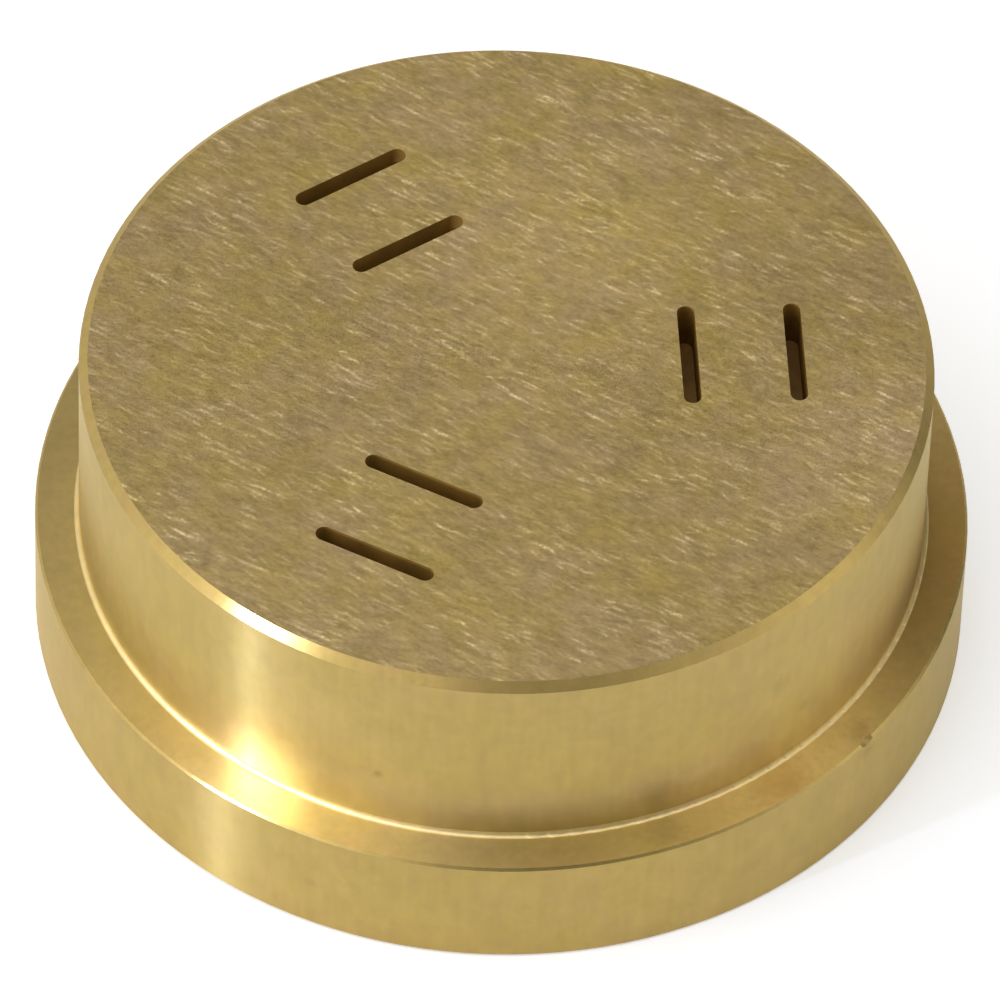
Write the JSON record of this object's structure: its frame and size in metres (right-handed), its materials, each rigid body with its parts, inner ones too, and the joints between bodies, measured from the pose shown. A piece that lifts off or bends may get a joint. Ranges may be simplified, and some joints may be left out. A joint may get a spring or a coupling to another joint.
{
  "type": "pasta extrusion die",
  "caption": "Round bronze die with a stepped flange. Pairs of round-ended slots in its brushed front face press dough into flat ribbons, fed by round pockets bored in from the back.",
  "frame": {"origin": "centre of the flat back face, on the die's axis", "axes": "+Z along the die's axis out of the front face, the way the ribbons leave; +X through the middle of one slot pair"},
  "size_m": [0.0584, 0.0584, 0.0225],
  "materials": {
    "bronze": "turned bronze, satin walls, straight brushed front face, dull slots"
  },
  "bodies": {
    "root": {"die": "bronze"}
  },
  "joints": []
}
